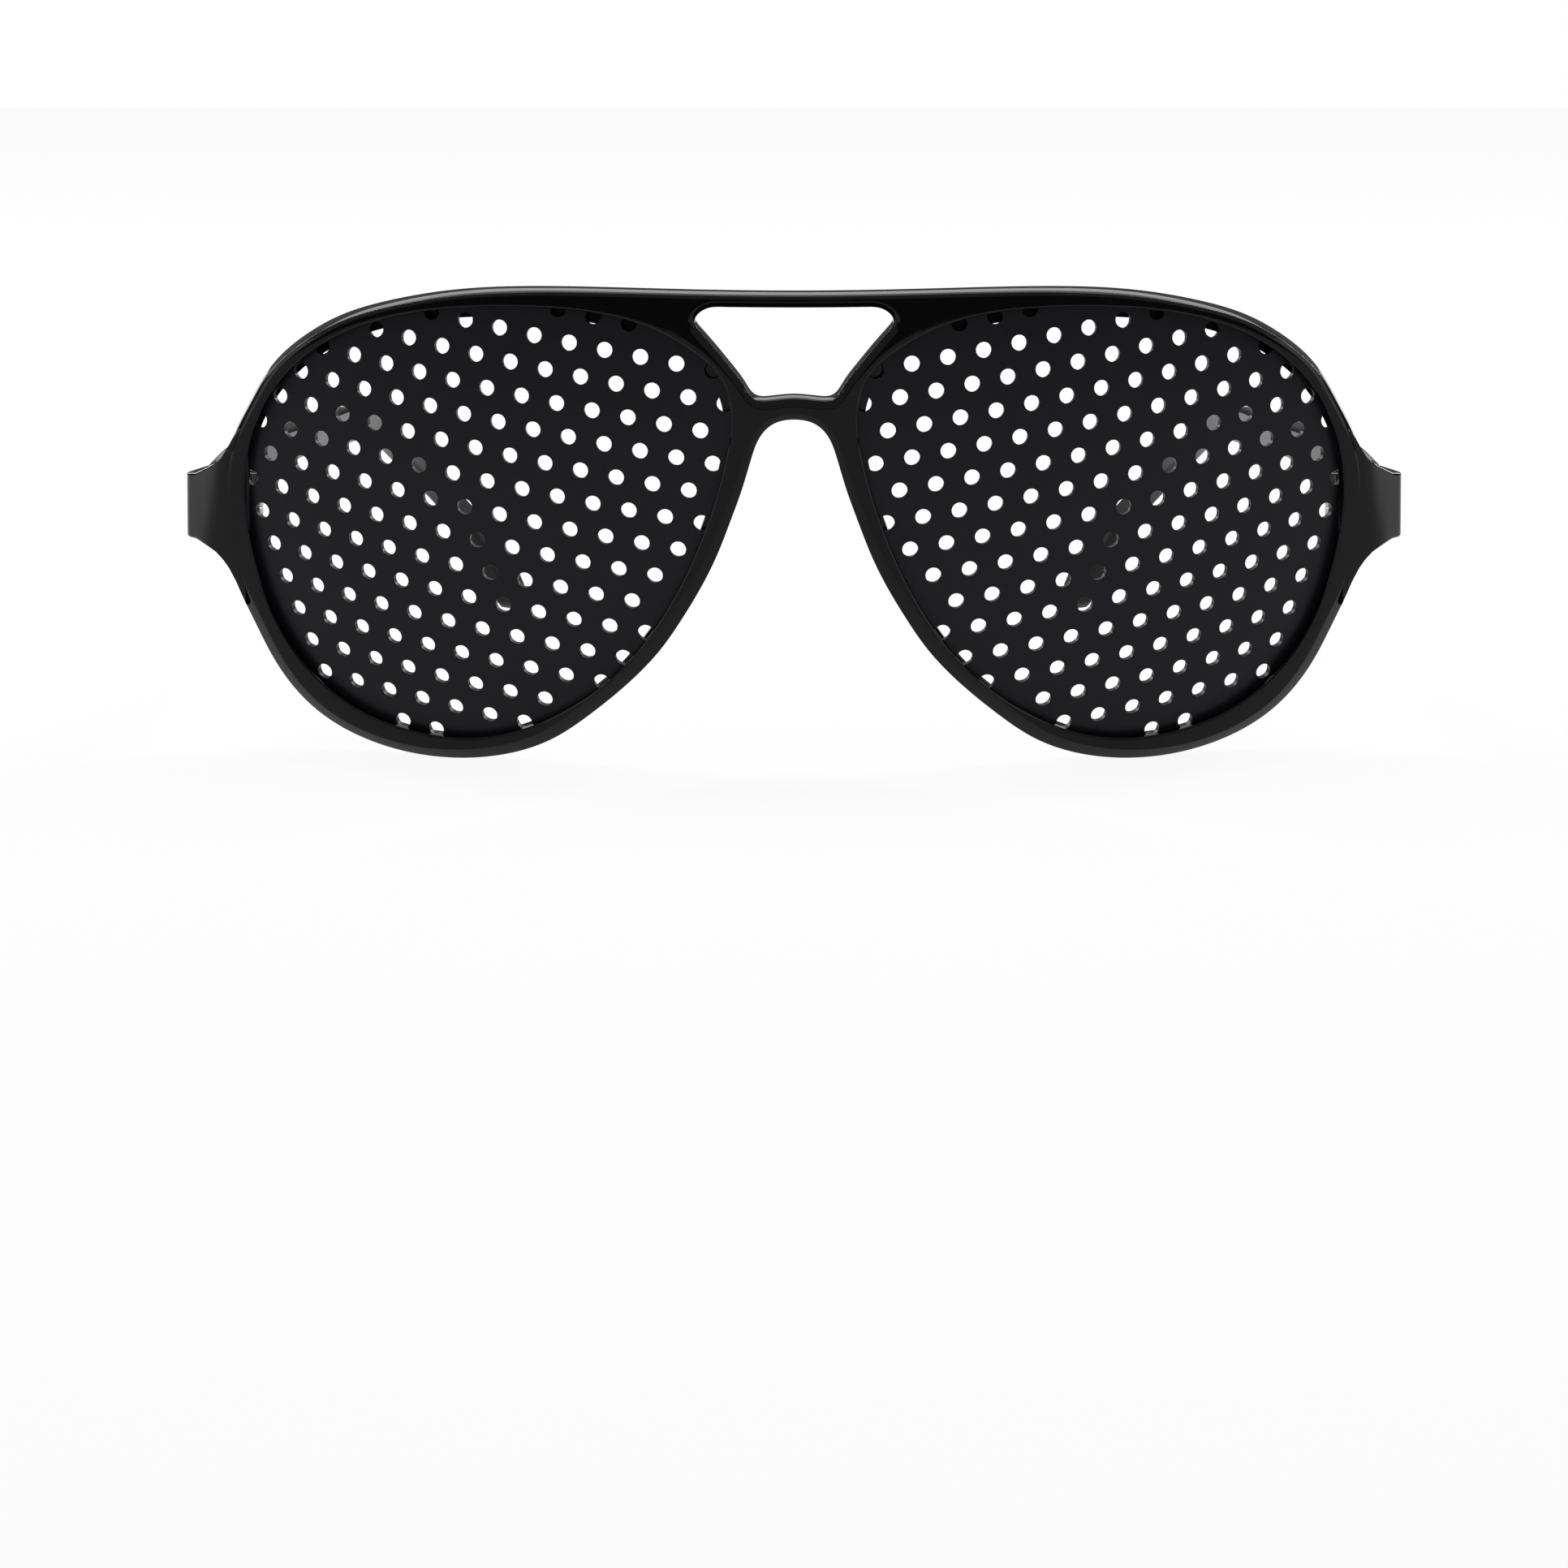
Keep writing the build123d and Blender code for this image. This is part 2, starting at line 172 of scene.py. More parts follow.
def turned(one: Array, two: Array, angle: float) -> tuple[Array, Array]:
    """Turns pairs from the first axis towards the second: a cos - b sin and a sin + b cos."""
    cos, sin = math.cos(angle), math.sin(angle)
    return one * cos - two * sin, one * sin + two * cos


def rounded_corner(start: Array, corner: Array, end: Array, count: int) -> Array:
    """Rounds corners by parabolas: (1-t)^2 start + 2t(1-t) corner + t^2 end.

    Args:
        start: flat places where the roundings start, or one of them.
        corner: the corners.
        end: where the roundings end.
        count: samples of each.

    Returns:
        Flat places, whose last index but one runs along the rounding.
    """
    t = np.linspace(0, 1, count)[:, None]
    start, corner, end = (np.asarray(place)[..., None, :] for place in (start, corner, end))
    return (1 - t) ** 2 * start + 2 * t * (1 - t) * corner + t**2 * end


def inside(points: Array, loops: list[Array]) -> Array:
    """Tells which points lie inside an odd number of closed loops.

    A ray to the right of each point crosses the sides of the loops, and an odd number of
    crossings means inside.

    Args:
        points: flat places, one row for each.
        loops: flat places of the loops' points.

    Returns:
        One truth value for each point.
    """
    start = np.vstack(loops)
    end = np.vstack([np.roll(loop, -1, axis=0) for loop in loops])
    rise = end[:, 1] - start[:, 1]
    lean = (end[:, 0] - start[:, 0]) / np.where(rise == 0, 1.0, rise)
    parts = []
    for part in np.array_split(points, max(1, len(points) // PART)):
        up = part[:, 1:2]
        crossing = (start[:, 1] > up) != (end[:, 1] > up)
        at = start[:, 0] + (up - start[:, 1]) * lean
        parts.append((crossing & (part[:, :1] < at)).sum(axis=1) % 2 == 1)
    return np.concatenate(parts)


def fill(loops: list[Array], loose: Array) -> Array:
    """Fills the area inside the first loop and outside the others with triangles.

    The triangulation keeps every side of the loops, and the triangles whose middle lies inside
    an odd number of loops stay.

    Args:
        loops: flat places of closed loops, the outer one first.
        loose: flat places of further points inside the area.

    Returns:
        Triangles that count the points in the order given.
    """
    flat = np.vstack([*loops, loose])
    first = np.cumsum([0] + [len(loop) for loop in loops])
    sides = [
        np.stack([np.arange(len(loop)), np.roll(np.arange(len(loop)), -1)], axis=1) + start
        for loop, start in zip(loops, first)
    ]
    found = delaunay_2d_cdt(flat.tolist(), np.vstack(sides).tolist(), [], 0, SAME_PLACE)
    places = np.array([tuple(place) for place in found[0]])
    source = np.array([origin[0] if origin else -1 for origin in found[3]])
    faces = np.array(found[2])
    keep = inside(places[faces].mean(axis=1), loops) & (source[faces] >= 0).all(axis=1)
    return source[faces[keep]]


def loose_points(loops: list[Array], step: float) -> Array:
    """Gives a square grid inside the first loop, over half a step clear of every line."""
    low, high = loops[0].min(axis=0), loops[0].max(axis=0)
    columns = np.arange(0, high[0], step)
    columns = np.concatenate([-columns[:0:-1], columns])
    grid = np.stack(np.meshgrid(columns, np.arange(low[1], high[1], step)), axis=-1).reshape(-1, 2)
    grid = grid[inside(grid, loops)]
    lines = np.vstack(loops)
    parts = np.array_split(grid, max(1, len(grid) // PART))
    gaps = [np.linalg.norm(part[:, None] - lines[None], axis=2).min(axis=1) for part in parts]
    return grid[np.concatenate(gaps) > 0.55 * step]


@dataclass(frozen=True)
class Placing:
    """Turns places on the front, on the floor plan or on a temple into the frame's metres."""

    apex_y: float
    apex_z: float
    base_radius: float = 122.3
    tilt: float = 8.0
    hinge_out: float = 66.2
    hinge_back: float = 34.0
    hinge_lift: float = -1.0
    splay: float = 10.8

    @classmethod
    def from_joints(cls, joints: list[dict]) -> "Placing":
        """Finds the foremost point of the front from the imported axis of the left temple."""
        axis = next(j for j in joints if j["name"].startswith("left"))["pos_m"]
        return cls(axis[1] / MILLIMETRE - cls.hinge_back, axis[2] / MILLIMETRE - cls.hinge_lift)

    def from_front(self, x: Array, d: Array, z: Array) -> Array:
        """Places points of the front: depth and height turned by the tilt, in metres."""
        return self.from_plan(x, *turned(d, z, math.radians(self.tilt)))

    def from_plan(self, x: Array, y: Array, z: Array) -> Array:
        """Places points given level from the foremost point, out, back and up, in metres."""
        x, y, z = np.broadcast_arrays(x, y, z)
        return np.stack([x, self.apex_y + y, self.apex_z + z], axis=-1) * MILLIMETRE

    def from_hinge(self, out: Array, along: Array, up: Array) -> Array:
        """Places points given from the left axis, turned by the temple's splay, in metres."""
        x, y = turned(out, along, math.radians(self.splay))
        return self.from_plan(self.hinge_out + x, self.hinge_back + y, self.hinge_lift + up)

    def depth(self, x: Array, z: Array, radius: float) -> Array:
        """Gives the depth at which a sphere about the front's centre lies under x and z."""
        return self.base_radius - np.sqrt(radius**2 - np.square(x) - np.square(z))


def add_object(name: str, content: bpy.types.ID) -> Object:
    """Makes an object of a mesh, a lamp or a camera and links it to the scene."""
    holder = bpy.data.objects.new(name, content)
    bpy.context.scene.collection.objects.link(holder)
    return holder


def quarter_round(radius: float, count: int) -> Array:
    """Gives a quarter circle from side to face: r(1 - cos t) inwards and r(1 - sin t) up."""
    turn = np.linspace(0, math.pi / 2, count)
    return radius * np.stack([1 - np.cos(turn), 1 - np.sin(turn)], axis=1)


def finish_mesh(
    working: bmesh.types.BMesh, mesh: Mesh, material: Material, sharp: float
) -> Object:
    """Makes a smooth object of its own material from a mesh in the making.

    Args:
        working: the faces, which are freed.
        mesh: the mesh that takes them, and whose name the object has.
        material: the material.
        sharp: angle in degrees above which an edge stays crisp.

    Returns:
        The object, linked to the scene.
    """
    working.to_mesh(mesh)
    working.free()
    mesh.materials.clear()
    mesh.materials.append(material)
    mesh.polygons.foreach_set("material_index", np.zeros(len(mesh.polygons), dtype=np.int32))
    mesh.polygons.foreach_set("use_smooth", np.ones(len(mesh.polygons), dtype=bool))
    mesh.set_sharp_from_angle(angle=math.radians(sharp))
    return add_object(mesh.name, mesh)


@dataclass
class Shell:
    """Vertices and faces of closed surfaces in the making."""

    points: list[Array] = field(default_factory=list)
    faces: list[list[list[int]]] = field(default_factory=list)
    count: int = 0

    def row(self, points: Array) -> Array:
        """Adds a row of points, or a grid of rows, and returns their numbers."""
        self.points.append(points.reshape(-1, 3))
        start = self.count
        self.count += len(self.points[-1])
        return np.arange(start, self.count).reshape(points.shape[:-1])

    def strip(self, one: Array, two: Array) -> None:
        """Joins two closed rows of the same length, or two grids of rows, with quads."""
        quads = [one, np.roll(one, -1, axis=-1), np.roll(two, -1, axis=-1), two]
        self.faces.append(np.stack(quads, axis=-1).reshape(-1, 4).tolist())

    def tube(self, rings: Array) -> None:
        """Adds a tube through rings, the first index of the points, and closes both ends."""
        numbers = self.row(rings)
        self.strip(numbers[:-1], numbers[1:])
        self.faces.append([numbers[0].tolist(), numbers[-1].tolist()])

    def to_object(self, name: str, material: Material, sharp: float, flip: bool = False) -> Object:
        """Makes a smooth object whose faces point outwards.

        Args:
            name: name of the new object.
            material: its material.
            sharp: angle in degrees above which an edge stays crisp.
            flip: whether to make the piece of the wearer's right side from the left one.

        Returns:
            The object, linked to the scene.
        """
        points = np.vstack(self.points) * np.array([-1.0 if flip else 1.0, 1.0, 1.0])
        mesh = bpy.data.meshes.new(name)
        mesh.from_pydata(points.tolist(), [], [face for part in self.faces for face in part])
        working = bmesh.new()
        working.from_mesh(mesh)
        bmesh.ops.recalc_face_normals(working, faces=working.faces)
        return finish_mesh(working, mesh, material, sharp)


def hand_over(piece: Object, body: str, node: str) -> Object:
    """Says which body a piece rides on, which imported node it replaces."""
    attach(piece, body)
    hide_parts(node)
    return piece


def section_pattern(arc: int = 6, side: int = 6) -> Array:
    """Gives a rounded rectangle's points, free of its size.

    Args:
        arc: points of each corner.
        side: steps of each side.

    Returns:
        Shares of the half width and half height less the radius, then of the radius.
    """
    corners = []
    side_shares = np.linspace(-1, 1, side + 1)[1:-1]
    for quarter, (x, z) in enumerate(((-1, -1), (1, -1), (1, 1), (-1, 1))):
        turn = math.pi + (quarter + np.linspace(0, 1, arc)) * math.pi / 2
        ones = np.ones(arc)
        corners.append(np.stack([x * ones, z * ones, np.cos(turn), np.sin(turn)], axis=1))
        along = side_shares * (1 if quarter in (0, 1) else -1)
        level = np.ones_like(along)
        angle = math.pi * (1.5 + quarter / 2)
        shares = [along, z * level] if quarter in (0, 2) else [x * level, along]
        corners.append(np.stack([*shares, math.cos(angle) * level, math.sin(angle) * level], axis=1))
    return np.vstack(corners)


def rounded_sections(width: Array, height: Array, radius: float) -> Array:
    """Gives rounded rectangles about the origin, one for each width and height.

    Args:
        width: sizes across.
        height: sizes upwards.
        radius: radius of the corners, which take at most 0.9 of a small section's half.

    Returns:
        Pairs of across and up: first index for the section, second for its point.
    """
    pattern = section_pattern()
    half = np.stack([width, height], axis=-1)[:, None] / 2
    corner = np.minimum(radius, 0.9 * half.min(axis=-1, keepdims=True))
    return pattern[None, :, :2] * (half - corner) + pattern[None, :, 2:] * corner


def add_node(tree: NodeTree, kind: str, values: dict, links: dict) -> Node:
    """Adds a shader node with its settings and links.

    Args:
        tree: the node tree.
        kind: the node's type, without the word ShaderNode before it.
        values: properties by their name, or inputs by their name or number.
        links: output sockets by the name or number of the input that they feed.

    Returns:
        The node.
    """
    node = tree.nodes.new("ShaderNode" + kind)
    for key, value in values.items():
        if isinstance(key, str) and key.islower() and hasattr(node, key):
            setattr(node, key, value)
        else:
            node.inputs[key].default_value = value
    for key, socket in links.items():
        tree.links.new(socket, node.inputs[key])
    return node


def start_material(name: str) -> tuple[Material, NodeTree, Node]:
    """Makes a material and returns it with its node tree and its shader."""
    material = bpy.data.materials.new(name)
    material.use_nodes = True
    return material, material.node_tree, material.node_tree.nodes["Principled BSDF"]


def noise_values(size: float, detail: float) -> dict:
    """Gives the settings of a noise whose patches are so many millimetres wide."""
    return {"Scale": 1 / (size * MILLIMETRE), "Detail": detail}


@dataclass(frozen=True)
class Wear:
    """How far a surface's roughness reaches, and how strong and high its relief is."""

    least_roughness: float
    most_roughness: float
    relief_strength: float
    relief_height: float

    def apply(self, tree: NodeTree, marks: Node, relief: Node) -> None:
        """Lets one noise carry the roughness and one lift the surface.

        Args:
            tree: the material's node tree.
            marks: the noise of the roughness, nearly all of which lies from 0.3 to 0.7.
            relief: the noise of the relief.
        """
        shader = tree.nodes["Principled BSDF"]
        reach = {
            "From Min": 0.3, "From Max": 0.7,
            "To Min": self.least_roughness, "To Max": self.most_roughness,
        }
        spread = add_node(tree, "MapRange", reach, {"Value": marks.outputs[0]})
        tree.links.new(spread.outputs[0], shader.inputs["Roughness"])
        lift = {"Strength": self.relief_strength, "Distance": self.relief_height * MILLIMETRE}
        bump = add_node(tree, "Bump", lift, {"Height": relief.outputs[0]})
        tree.links.new(bump.outputs["Normal"], shader.inputs["Normal"])


@dataclass(frozen=True)
class Plastic:
    """A dyed plastic: its colour drifts between two darks, and fine marks change its gloss."""

    name: str
    dark: str
    light: str
    gloss: float
    drift_size: float
    mark_size: float
    mark_detail: float
    # Whether the relief follows the colour's drift, and not the marks
    relief_drifts: bool
    wear: Wear

    def make(self) -> Material:
        """Returns the material."""
        material, tree, shader = start_material(self.name)
        shader.inputs["Specular IOR Level"].default_value = self.gloss
        place = {"Vector": add_node(tree, "TexCoord", {}, {}).outputs["Object"]}
        drift = add_node(tree, "TexNoise", noise_values(self.drift_size, 2.0), place)
        marks = add_node(tree, "TexNoise", noise_values(self.mark_size, self.mark_detail), place)
        colours = {"data_type": "RGBA", "A": to_linear(self.dark), "B": to_linear(self.light)}
        colour = add_node(tree, "Mix", colours, {0: drift.outputs[0]})
        tree.links.new(colour.outputs["Result"], shader.inputs["Base Color"])
        self.wear.apply(tree, marks, drift if self.relief_drifts else marks)
        return material


@dataclass(frozen=True)
class TumbledMetal:
    """Metal that was stamped or turned and then tumbled: soft edges and a fine even haze."""

    name: str
    colour: str
    wear: Wear
    mark_size: float = 0.2

    def make(self) -> Material:
        """Returns the material."""
        material, tree, shader = start_material(self.name)
        shader.inputs["Base Color"].default_value = to_linear(self.colour)
        shader.inputs["Metallic"].default_value = 1.0
        place = {"Vector": add_node(tree, "TexCoord", {}, {}).outputs["Object"]}
        marks = add_node(tree, "TexNoise", noise_values(self.mark_size, 4.0), place)
        self.wear.apply(tree, marks, marks)
        return material


# ABS from a polished mould: near black, and so smooth that mostly grazing light shows. The sink
# and flow of the moulding drift over 7 mm, and handling leaves finer marks, 2 mm wide.
POLISHED_ABS = Plastic(
    "polished_moulded_abs", "#060607", "#09090b", gloss=0.14, drift_size=7.0, mark_size=2.0,
    mark_detail=4.0, relief_drifts=True, wear=Wear(0.04, 0.09, 0.05, 0.1),
)
# Dyed PVC sheet, calendered satin: a cool black with an even fine grain. The grain of 0.1 mm is
# finer than the picture shows, so it is drawn 0.4 mm wide.
CALENDERED_PVC = Plastic(
    "calendered_pvc_sheet", "#121017", "#17151d", gloss=0.15, drift_size=12.0, mark_size=0.4,
    mark_detail=3.0, relief_drifts=False, wear=Wear(0.34, 0.44, 0.15, 0.03),
)
# The hinges' pale alloy, a little warm, and the cooler and smoother steel of screws and rivets
NICKEL_SILVER = TumbledMetal("tumbled_nickel_silver", "#b9b6ae", Wear(0.22, 0.34, 0.1, 0.02))
TURNED_STEEL = TumbledMetal("turned_steel", "#b4b4b6", Wear(0.16, 0.26, 0.1, 0.02))


@dataclass(frozen=True)
class Window:
    """The line of the left window, and of what follows it."""

    x: float = 36.85
    z: float = -2.5
    half_width: float = 29.35
    half_height: float = 27.0
    shares: tuple = (
        (-1.000, 0.560), (-0.961, 0.719), (-0.850, 0.836), (-0.607, 0.958), (-0.193, 1.000),
        (0.269, 0.943), (0.599, 0.809), (0.879, 0.522), (0.997, 0.126), (0.960, -0.267),
        (0.833, -0.615), (0.606, -0.870), (0.298, -0.990), (-0.025, -0.975), (-0.295, -0.843),
        (-0.556, -0.607), (-0.745, -0.312), (-0.911, 0.099), (-0.983, 0.384),
    )

    def loop(self, growth: float, count: int, shift: tuple = (0.0, 0.0)) -> Array:
        """Gives the window's line in so many points, grown on all sides and moved."""
        half = np.array([self.half_width, self.half_height]) + growth
        middle = np.array([self.x, self.z]) + shift
        line = cubic_spline(np.array(self.shares) * half + middle, closed=True)
        return even_steps(np.vstack([line, line[:1]]), count)[:-1]


@dataclass(frozen=True)
class FrontFrame:
    """The moulding: rims, brow bar, bridge bar, the ends that carry the hinges, nose pads."""

    placing: Placing
    window: Window = Window()
    proud: float = 1.2
    thickness: float = 3.8
    plate_thickness: float = 0.9
    plate_clearance: float = 0.1
    groove: float = 1.0
    lip_behind: float = 0.6
    rear_shift: tuple = (0.2, -1.0)
    lip_bevel: tuple = (0.24, 0.24)
    lip_corner: float = 0.05
    back_round: float = 0.25
    bevel_round: float = 0.08
    rear_round: float = 0.3
    round_steps: int = 5
    face_step: float = 1.3
    back_step: float = 1.6
    outer_steps: int = 560
    window_steps: int = 400
    opening_steps: int = 110
    opening_samples: int = 1200
    opening_soft: int = 76
    opening_bevel: tuple = (0.75, 0.75)
    # x and z of the rim's outside, and the width and depth of its front bevel there
    outer_line: tuple = (
        (0.0, 26.62, 0.30, 0.30), (11.5, 26.63, 0.30, 0.30), (22.9, 26.55, 0.30, 0.30),
        (32.6, 26.14, 0.30, 0.30), (40.4, 25.20, 0.32, 0.32), (48.2, 23.30, 0.35, 0.35),
        (54.2, 20.95, 0.38, 0.38), (58.6, 18.10, 0.42, 0.40), (62.6, 14.20, 0.46, 0.42),
        (65.9, 8.60, 0.55, 0.45), (68.0, 4.00, 0.60, 0.50), (69.0, -2.00, 0.80, 0.60),
        (68.6, -9.00, 1.00, 0.70), (67.1, -13.90, 1.15, 0.75), (65.5, -17.30, 1.20, 0.80),
        (62.4, -23.20, 1.20, 0.80), (57.7, -28.30, 1.20, 0.80), (50.9, -31.50, 1.20, 0.80),
        (43.0, -32.52, 1.30, 0.80), (37.0, -31.90, 1.45, 0.85), (29.1, -28.90, 1.65, 0.95),
        (24.4, -25.30, 1.80, 1.05), (19.6, -20.80, 1.90, 1.10), (15.9, -16.50, 1.90, 1.10),
        (13.2, -12.30, 1.75, 1.05), (10.85, -8.10, 1.55, 1.00), (9.0, -4.10, 1.35, 0.95),
        (7.5, -0.10, 1.20, 0.90), (6.1, 3.90, 1.05, 0.85), (4.95, 7.80, 0.95, 0.80),
        (4.05, 10.00, 0.90, 0.75), (2.6, 11.50, 0.88, 0.72), (0.0, 12.12, 0.85, 0.70),
    )
    opening_line: tuple = (
        (0.0, 25.24), (10.5, 25.24), (12.25, 23.55), (9.45, 20.54), (6.09, 16.50),
        (4.72, 14.12), (0.0, 14.65),
    )
    # Seen from the front, the end's x, top and bottom above the foremost point
    flare_line: tuple = (
        (66.3, 9.70, -12.80),
        (67.55, 8.25, -9.90), (68.4, 6.70, -8.30), (69.2, 5.46, -7.25),
        (70.1, 4.68, -6.35), (71.0, 4.08, -5.80), (71.9, 3.52, -5.35), (72.7, 3.08, -5.02),
        (73.9, 2.90, -4.95),
    )
    wrap_start: tuple = (66.35, 17.0)
    wrap_knee: tuple = (69.3, 19.4)
    wrap_corner: tuple = (73.9, 26.9)
    wrap_start_wall: float = 1.15
    wrap_wall: float = 3.4
    # Runs between which the wall grows, and the share after which it grows again to the hinge
    wrap_growth: tuple = (0.7, 3.2)
    hinge_share: float = 0.75
    wrap_steps: int = 72
    wrap_round_steps: int = 9
    # Where the wrap comes out of the rim's face, and how deep it lies before and after
    emerging_x: tuple = (66.5, 67.1)
    emerging_depths: tuple = (0.03, -0.03)
    corner_reach: float = 1.1
    press_soft: float = 0.4
    hinge_inset: float = 1.7
    hinge_wall: float = 4.1
    butt_gap: float = 0.3
    end_round: float = 0.35
    pad_out: float = 10.6
    pad_drop: float = 4.5
    pad_root: float = 2.6
    pad_stand: float = 6.8
    pad_length: float = 17.0
    pad_width: float = 2.2
    pad_lean: float = 26.0
    # How much narrower and shorter the tip is, the share of the height over which it closes,
    # what is left of the length there, and how small the closing gets, squared
    pad_taper: tuple = (0.15, 3.5)
    pad_tip_share: float = 0.2
    pad_tip_length: float = 0.4
    pad_tip_least: float = 0.015
    pad_rows: int = 17
    pad_sides: int = 40

    @property
    def outside(self) -> float:
        """Returns the radius of the front's outer face."""
        return self.placing.base_radius + self.proud

    @property
    def inner(self) -> float:
        """Returns the radius of the front's back."""
        return self.outside - self.thickness

    def build(self, gloss: Material) -> Object:
        """Builds and dresses the moulding."""
        shell = Shell()
        self.add_main(shell)
        for side in Side:
            shell.tube(self.end_rings(side))
            shell.tube(self.pad_rings(side))
        piece = shell.to_object("front_moulding", gloss, sharp=38.0)
        return hand_over(piece, "front", "front_frame")

    def outer_loop(self) -> Array:
        """Gives the outside line with its bevels as further columns, smooth across the middle."""
        half = np.array(self.outer_line)
        line = cubic_spline(mirrored_loop(half), closed=True)
        line = line[: (len(half) - 1) * SPAN_STEPS + 1]
        return mirrored_loop(even_steps(line, self.outer_steps))

    def opening_loop(self) -> Array:
        """Gives the line of the opening: straight runs averaged over a short window."""
        line = even_steps(np.array(self.opening_line), self.opening_samples)
        closed, reach = mirrored_loop(line), self.opening_soft
        weights = np.cos(np.linspace(-math.pi / 2, math.pi / 2, 2 * reach + 1))
        padded = np.vstack([closed[-reach:], closed, closed[:reach]])
        smooth = [np.convolve(c, weights / weights.sum(), mode="valid") for c in padded.T]
        return mirrored_loop(even_steps(np.stack(smooth, axis=1)[: len(line)], self.opening_steps))

    def bevel_sections(self, bevels: Array, turn: float) -> Array:
        """Gives bevels with two rounded corners.

        Args:
            bevels: width and depth of the bevel at each point of the edge.
            turn: how much of its two sides a corner takes.

        Returns:
            Distance from the edge and depth: first index for the point, second for the step.
        """
        width, depth = bevels.T
        zero = np.zeros_like(width)
        lean = unit(np.stack([-width, depth], axis=1)) * turn
        knee, foot = np.stack([width, zero], axis=1), np.stack([zero, depth], axis=1)
        parts = [
            rounded_corner(knee + [turn, 0], knee, knee + lean, self.round_steps),
            rounded_corner(foot - lean, foot, foot + [0, turn], self.round_steps),
        ]
        return np.concatenate(parts, axis=1)

    def edge_rows(self, loop: Array, inward: Array, bevels: Array) -> tuple[Array, Array]:
        """Gives the rows round one edge, from the front bevel to the rounded back.

        Args:
            loop: the edge's line.
            inward: unit normals that point into the material.
            bevels: width and depth of the front bevel at each point.

        Returns:
            Flat places and depths: first index for the row, second for the point.
        """
        sections = self.bevel_sections(bevels, self.bevel_round)
        front = loop[:, None] + inward[:, None] * sections[:, :, :1]
        depth = self.placing.depth(front[..., 0], front[..., 1], self.outside) + sections[..., 1]
        reach, rise = quarter_round(self.back_round, self.round_steps).T
        back = loop[:, None] + inward[:, None] * reach[:, None]
        rear = self.placing.depth(back[..., 0], back[..., 1], self.inner) - rise
        return np.concatenate([front, back], axis=1).transpose(1, 0, 2), np.hstack([depth, rear]).T

    def window_rows(self, side: Side) -> tuple[Array, Array]:
        """Gives the rows of the bevelled lip, the plate's groove and the lower rear opening.

        Args:
            side: which window.

        Returns:
            Flat places and depths: first index for the row, second for the point.
        """
        radius = self.placing.base_radius
        seat, rest = radius + self.plate_clearance, radius - self.plate_thickness
        rest -= self.plate_clearance
        still, moved = (0.0, 0.0), self.rear_shift
        lip = self.bevel_sections(np.array([self.lip_bevel]), self.lip_corner)[0]
        rows = [(reach, still, self.outside, depth) for reach, depth in lip]
        rows += [(0.0, still, seat, 0.0), (self.groove, still, seat, 0.0)]
        rows += [(self.groove, still, rest, 0.0), (-self.lip_behind, moved, rest, 0.0)]
        for reach, rise in quarter_round(self.rear_round, self.round_steps - 1):
            rows.append((reach - self.lip_behind, moved, self.inner, -rise))
        loops = [self.window.loop(growth, self.window_steps, shift) for growth, shift, *_ in rows]
        flat = np.array(loops) * [side.value, 1.0]
        sphere, extra = np.array([row[2:] for row in rows]).T[..., None]
        return flat, self.placing.depth(flat[..., 0], flat[..., 1], sphere) + extra

    def add_main(self, shell: Shell) -> None:
        """Adds the rims and bars: every edge's rows, and a front and a back face between them."""
        outer, opening = self.outer_loop(), self.opening_loop()
        bevels = np.tile(self.opening_bevel, (len(opening), 1))
        edges = []
        for flat, depth in (
            self.edge_rows(outer[:, :2], -left_normals(outer), outer[:, 2:]),
            self.edge_rows(opening, left_normals(opening), bevels),
            self.window_rows(Side.LEFT),
            self.window_rows(Side.RIGHT),
        ):
            numbers = shell.row(self.placing.from_front(flat[..., 0], depth, flat[..., 1]))
            shell.strip(numbers[:-1], numbers[1:])
            edges.append((flat, numbers))
        faces = ((0, self.outside, self.face_step), (-1, self.inner, self.back_step))
        for row, radius, step in faces:
            loops = [flat[row] for flat, _ in edges]
            loose = loose_points(loops, step)
            depth = self.placing.depth(loose[:, 0], loose[:, 1], radius)
            extra = shell.row(self.placing.from_front(loose[:, 0], depth, loose[:, 1]))
            order = np.concatenate([*(numbers[row] for _, numbers in edges), extra])
            shell.faces.append(order[fill(loops, loose)].tolist())

    def end_rings(self, side: Side) -> Array:
        """Gives the sections of the end of a rim, which wraps round to the hinge.

        The outer path leaves the rim's face, bends into the wrap, turns the corner and runs
        straight to the temple. Each section stands between it and the inner path, as high as
        the end is seen from the front, and what would stand out of the sphere is pressed back
        behind it, softly: by s ln(1 + e^(needed depth / s)).

        Args:
            side: which end.

        Returns:
            One ring of places for each first index.
        """
        butt = turned(
            self.hinge_inset + self.hinge_wall, -self.butt_gap, math.radians(self.placing.splay)
        )
        butt = np.array(butt) + [self.placing.hinge_out, self.placing.hinge_back]
        stops = np.array([self.wrap_start, self.wrap_knee, self.wrap_corner, butt])
        legs = unit(np.diff(stops, axis=0)) * self.corner_reach
        parts = [
            rounded_corner(corner - ahead, corner, corner + after, self.wrap_round_steps)
            for corner, ahead, after in zip(stops[1:-1], legs[:-1], legs[1:])
        ]
        outer = even_steps(np.vstack([stops[:1], *parts, stops[-1:]]), self.wrap_steps)
        run = running_length(outer)
        across = turned_left(unit(np.gradient(outer, axis=0)))
        walls = [self.wrap_start_wall, self.wrap_wall, self.wrap_wall, self.hinge_wall]
        wall = np.interp(run, [*self.wrap_growth, run[-1] * self.hinge_share, run[-1]], walls)
        flare = np.array(self.flare_line)
        reached = np.maximum.accumulate(outer[:, 0])
        top = np.interp(reached, flare[:, 0], flare[:, 1])
        bottom = np.interp(reached, flare[:, 0], flare[:, 2])
